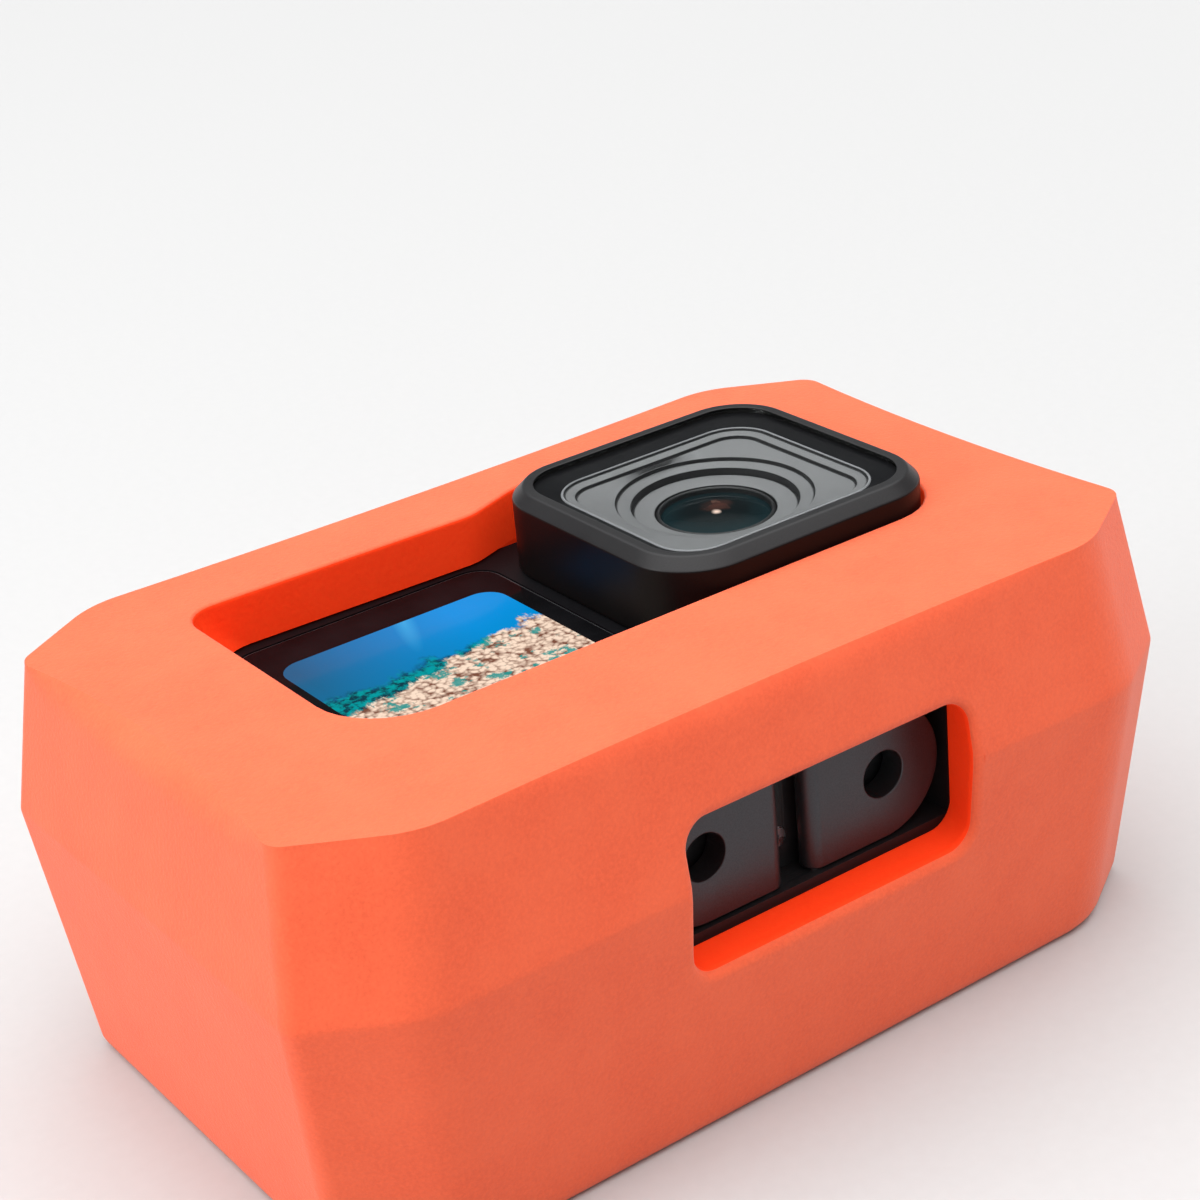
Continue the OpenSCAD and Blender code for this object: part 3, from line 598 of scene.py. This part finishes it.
case = mesh_object("float_case_foam", foam_blank())
cutters = [
    side_cutter(finger_outline, lambda u, z, out: (u, -out, z),
                lambda z: FACE_H / 2 + wall_out(z), POCKET_LOWER),
    side_cutter(stadium_outline(-8, 20.4, 14.4), lambda u, z, out: (u, out, z),
                lambda z: FACE_H / 2 + wall_out(z), POCKET_UPPER),
    side_cutter(stadium_outline(5, 16.5, 10.6), lambda u, z, out: (out, u, z),
                lambda z: FACE_W / 2 + wall_out(z), POCKET_RIGHT),
    channel(-16.3, 0.3, 22, 25.2),
    channel(38, 41.2, -1.6, 11.6),
]
for obj in (case, *cutters):
    for material in (CASE, CASE_INNER_GLOW):
        obj.data.materials.append(material)
for cutter in cutters:
    cut = case.modifiers.new("cut", "BOOLEAN")
    cut.object = cutter
    cut.operation = "DIFFERENCE"
    cut.solver = "EXACT"
bpy.context.view_layer.update()
depsgraph = bpy.context.evaluated_depsgraph_get()
carved = bpy.data.meshes.new_from_object(case.evaluated_get(depsgraph))
case.modifiers.clear()
case.data = carved
for cutter in cutters:
    bpy.data.objects.remove(cutter)
smooth(case, CASE_SMOOTH_BELOW)
dress(case, "float_case", [CASE, CASE_INNER_GLOW], ["float_shell"])

# ---------------------------------------------------------------- lens cover

lens_lo, lens_hi = span("lens_cover_frame")
lens_c = ((lens_lo.x + lens_hi.x) / 2, (lens_lo.y + lens_hi.y) / 2)
LW, LH, LR = 35.6, 33.8, 7.5
top = lens_hi.z


def lens_ring(inset, z):
    return polar(LW - 2 * inset, LH - 2 * inset, max(LR - inset, 0.5), z, lens_c)


bm = bmesh.new()
base = lens_lo.z
rings = [lens_ring(1.8, base + 0.05), lens_ring(0.25, base), lens_ring(0.08, base + 0.08),
         lens_ring(0, base + 0.3), lens_ring(0, top - 1.5), lens_ring(0.05, top - 1.36),
         lens_ring(0.16, top - 1.22), lens_ring(1.08, top - 0.3), lens_ring(1.22, top - 0.19),
         lens_ring(1.4, top - 0.14), lens_ring(2.2, top - 0.14), lens_ring(2.33, top - 0.19),
         lens_ring(2.36, top - 0.3), lens_ring(1.95, top - 0.31), lens_ring(1.95, base + 4.2),
         lens_ring(1.8, base + 4)]
paint = [1, 1, 1, 1, 1, 0, 0, 0, 0, 0, 0, 1, 1, 1, 1, 1]
loft(bm, rings, wrap=True, paint=paint)
piece("lens_cover_bezel", bm, "lens_cover", [COVER, COVER_SIDE],
      ["lens_cover_frame"])

bm = bmesh.new()
capped(bm, [lens_ring(2.03, top - 0.78), lens_ring(2.0, top - 0.72), lens_ring(2.0, top - 0.48),
            lens_ring(2.08, top - 0.42)])
piece("lens_cover_pane", bm, "lens_cover", [GLASS], ["lens_cover_glass"])

# stepped plate round the lens: black border, then pale treads with risers in painted shade between
# them
bm = bmesh.new()
baffle_lo, baffle_hi = span("lens_baffle")
deck, under = baffle_hi.z, baffle_lo.z
PLATE_C = (lens_c[0], lens_c[1] - 0.15)
PLATE_W, PLATE_H = 26.5, 24.3


def square(inset, drop):
    return polar(PLATE_W - 2 * inset, PLATE_H - 2 * inset, max(4.6 - inset, 2), deck - drop,
                 PLATE_C)


def circle(r, drop):
    return polar(2 * r, 2 * r, r, deck - drop, lens_c)


# each ring with the paint of the strip that follows it: 0 tread, 1 riser in painted shade, 2
# border, 3 bead painted lighter for its highlight
plate_rings = [
    (lens_ring(2.1, under), 2), (lens_ring(2.1, top - 0.9), 2), (lens_ring(2.2, top - 0.84), 2),
    (square(-0.22, 0), 3), (square(-0.14, -0.09), 3), (square(-0.02, -0.1), 3),
    (square(0.06, -0.02), 1), (square(0.1, 0.2), 1), (square(0.26, 0.22), 0),
    (square(0.34, 0.16), 0), (square(1.15, 0.3), 0), (square(1.24, 0.36), 1),
    (square(1.28, 0.68), 1), (square(1.46, 0.7), 0), (square(1.56, 0.63), 0),
    (circle(10.62, 1.12), 0), (circle(10.56, 1.17), 1), (circle(10.52, 1.55), 1),
    (circle(10.36, 1.57), 0), (circle(10.28, 1.51), 0), (circle(9.06, 1.66), 0),
    (circle(8.96, 1.74), 1), (circle(8.86, 2.54), 1), (circle(8.62, 2.5), 0),
    (circle(8.52, 2.42), 0), (circle(6.62, 2.62), 0), (circle(6.5, 2.7), 1),
    (circle(6.46, 3.1), 1), (circle(6.46, deck - under), 1),
]
loft(bm, [r for r, _ in plate_rings], wrap=True, paint=[m for _, m in plate_rings])
piece("lens_baffle_plate", bm, "lens_cover", [PLATE, RISER_SHADE, BORDER, BEAD_HIGHLIGHT],
      ["lens_baffle"])

# ---------------------------------------------------------------- lens

barrel_lo, barrel_hi = span("lens_barrel")
foot, nose = barrel_lo.z, barrel_hi.z
element_hi = span("lens_front_element")[1]


def lens_circles(profile, n):
    """Rings round the lens's axis from (radius, height) pairs."""
    angles = [2 * math.pi * i / n for i in range(n)]
    return [[(lens_c[0] + r * math.cos(a), lens_c[1] + r * math.sin(a), z) for a in angles]
            for r, z in profile]


def dome(radius, rise, edge_z, steps):
    """(radius, height) pairs of a spherical cap from its edge to near its middle."""
    ball = (radius * radius + rise * rise) / (2 * rise)
    pairs = []
    for k in range(steps + 1):
        r = radius * (1 - k / steps) + 0.02
        pairs.append((r, edge_z + math.sqrt(max(0, ball * ball - r * r)) - ball + rise))
    return pairs


bm = bmesh.new()
loft(bm, lens_circles([
    (8.6, foot), (8.6, 36.0), (7.6, 36.1), (7.6, 42.6), (7.2, 43.0), (6.5, 43.0), (6.36, 43.1),
    (6.36, nose - 0.3), (6.25, nose - 0.1), (6.1, nose), (6.0, nose - 0.02), (5.92, nose - 0.12),
    (5.9, nose - 0.6), (5.9, 41.0), (5.35, 40.9), (5.3, 31.2), (4.62, 31.0), (4.6, foot + 0.2),
], 128), wrap=True)
piece("lens_barrel_turned", bm, "camera", [BLACK], ["lens_barrel"])


def coated_with_painted_reflections(name):
    """Coated lens: teal-black, with painted reflections: the reddish glint of the elements below it
    near the middle, and a small painted highlight.
    """
    material, tree, shader, where = start(name)

    def spot(x, y, lo, hi, smudge):
        """1 within lo mm of a point beside the lens's middle, falling to 0 at hi mm."""
        middle = ((lens_c[0] + x) * MM, (lens_c[1] + y) * MM, element_hi.z * MM)
        place = node(tree, "VectorMath", {0: where, 1: middle}, operation="SUBTRACT").outputs[0]
        away = node(tree, "VectorMath", {0: place}, operation="LENGTH").outputs[1]
        uneven = sums(tree, "MULTIPLY_ADD", noise(tree, where, 1.1, 3), smudge * MM, away)
        return ramp(tree, uneven, hi * MM, lo * MM)

    teal = mix(tree, spot(0, 0, 3.4, 5.6, 0.8), rgb(0.003, 0.013, 0.016), rgb(0.002, 0.005, 0.006))
    # painted reflection: reddish glints of the inner elements, just off the middle
    glow = mix(tree, spot(0.5, 0.4, 0.5, 3.0, 2.2), teal, rgb(0.085, 0.030, 0.021))
    glow = mix(tree, spot(0.9, 1.3, 0.1, 1.8, 2.4), glow, rgb(0.36, 0.17, 0.12))
    # painted highlight: a small pale glint beside the middle
    glow = mix(tree, spot(-0.6, -0.9, 0.35, 0.8, 0.3), glow, rgb(0.80, 0.58, 0.48))
    tree.links.new(glow, shader.inputs["Base Color"])
    gloss = ramp(tree, noise(tree, where, 3, 2), 0.3, 0.7, 0.03, 0.07)
    tree.links.new(gloss, shader.inputs["Roughness"])
    shader.inputs["Specular IOR Level"].default_value = 0.05
    shader.inputs["Specular Tint"].default_value = rgb(0.45, 0.85, 0.90)
    return material


bm = bmesh.new()
rim = [(5.2, 41.4), (5.8, 41.4), (5.85, 41.5)]
capped(bm, lens_circles(rim + dome(5.85, 0.85, element_hi.z - 0.6, 12), 96))
piece("lens_front_dome", bm, "camera", [coated_with_painted_reflections("front_element_painted_reflections")],
      ["lens_front_element"])


# ---------------------------------------------------------------- displays


def display(name, node_name, z0, z1, lit, lit_r, flip):
    """Black border glass from z0 to its face at z1, and the lit picture set flush in it."""
    lo, hi = span(node_name)
    rise = 0.12 if z1 > z0 else -0.12

    def outer(g, z):
        return at(box_outline(lo.x - g, hi.x + g, lo.y - g, hi.y + g, 3 + g, edge=3), z)

    def inner(g, z):
        return at(box_outline(lit[0] - g, lit[2] + g, lit[1] - g, lit[3] + g, lit_r + g, edge=3), z)

    bm = bmesh.new()
    # paint 1: the border's rounded edge strip, painted lighter as its highlight
    loft(bm, [outer(0, z0), outer(0, z1 - rise), outer(-0.03, z1 - rise / 2), outer(-0.22, z1),
              inner(0, z1), inner(0, z0)], wrap=True, paint=[0, 0, 1, 0, 0, 0])
    piece(name + "_border", bm, "camera", [PANEL_GLASS, GLASS_EDGE_HIGHLIGHT], [node_name])
    bm = bmesh.new()
    capped(bm, [inner(-0.01, z0), inner(-0.01, z1 - rise / 12)])
    shown = picture(name + "_picture", lit[0], lit[1], lit[2] - lit[0], lit[3] - lit[1], flip)
    piece(name + "_lit", bm, "camera", [shown])


front_lo, front_hi = span("front_display_glass")
display("front_display", "front_display_glass", front_lo.z, front_hi.z,
        (-28.0, -11.0, -1.5, 15.5), 2.6, False)
rear_lo, rear_hi = span("rear_display_glass")
display("rear_display", "rear_display_glass", rear_hi.z, rear_lo.z,
        (rear_lo.x + 3, rear_lo.y + 3, rear_hi.x - 3, rear_hi.y - 3), 1.0, True)

# ---------------------------------------------------------------- softened CAD parts

for name, width in (("body_housing", 0.5), ("finger_left", 0.5), ("finger_right", 0.5),
                    ("mount_cradle", 0.3), ("battery_door", 0.25), ("shutter_button", 0.35),
                    ("mode_button", 0.35), ("door_latch", 0.15), ("battery", 0.8)):
    soften(name, width)

# ---------------------------------------------------------------- floor, light, camera

bm = bmesh.new()
bmesh.ops.create_grid(bm, x_segments=8, y_segments=8, size=6000)
floor = mesh_object("floor", bm)
material, tree, shader, where = start("floor_paper")
paper = noise(tree, where, 1.5, 3)
tint = mix(tree, paper, rgb(0.46, 0.46, 0.46), rgb(0.50, 0.50, 0.50))
tree.links.new(tint, shader.inputs["Base Color"])
tree.links.new(ramp(tree, paper, 0.3, 0.7, 0.7, 0.85), shader.inputs["Roughness"])
floor.data.materials.append(material)

world = bpy.data.worlds.new("studio")
bpy.context.scene.world = world
world.use_nodes = True
# soft light from overhead, with a pale horizon
sky = world.node_tree
height = node(sky, "SeparateXYZ", {0: node(sky, "TexCoord").outputs["Generated"]}).outputs[2]
overhead = ramp(sky, height, 0.5, 0.88, 0, 3.3)
horizon = ramp(sky, height, 0.12, 0.25, 0.75, 0.06)
glow = sums(sky, "ADD", overhead, horizon)
sky.links.new(glow, sky.nodes["Background"].inputs["Strength"])
sky.nodes["Background"].inputs["Color"].default_value = rgb(1, 1, 1)


light = bpy.data.lights.new("softbox", "AREA")
light.shape = "RECTANGLE"
light.size = light.size_y = 360 * MM
light.energy = 2.3
lamp = bpy.data.objects.new("softbox", light)
lamp_place, lamp_aim = Vector((-640, 120, 300)), Vector((0, 0, 25))
lamp.location = lamp_place * MM
lamp.rotation_mode = "QUATERNION"
lamp.rotation_quaternion = (lamp_place - lamp_aim).to_track_quat("Z", "Y")
bpy.context.scene.collection.objects.link(lamp)

# the view: angles in degrees, the point looked at and its distance in millimetres
AZIMUTH, ELEVATION, ROLL = (math.radians(a) for a in (-33.880, 25.332, -5.459))
AIM, DISTANCE = Vector((4.938, 4.994, 38.722)), 269.386
camera = bpy.data.objects.new("camera", bpy.data.cameras.new("camera"))
bpy.context.scene.collection.objects.link(camera)
back = Vector((math.sin(AZIMUTH) * math.cos(ELEVATION), -math.cos(AZIMUTH) * math.cos(ELEVATION),
               math.sin(ELEVATION)))
right = Vector((0, 0, 1)).cross(back).normalized()
up = back.cross(right)
right, up = (right * math.cos(ROLL) + up * math.sin(ROLL),
             up * math.cos(ROLL) - right * math.sin(ROLL))
camera.matrix_world = Matrix.Translation((AIM + back * DISTANCE) * MM) @ \
    Matrix((right, up, back)).transposed().to_4x4()
camera.data.lens = 78.069
camera.data.sensor_width = 36
camera.data.clip_start, camera.data.clip_end = 0.01, 10
bpy.context.scene.camera = camera
bpy.context.scene.view_settings.view_transform = "Standard"

bpy.context.view_layer.update()
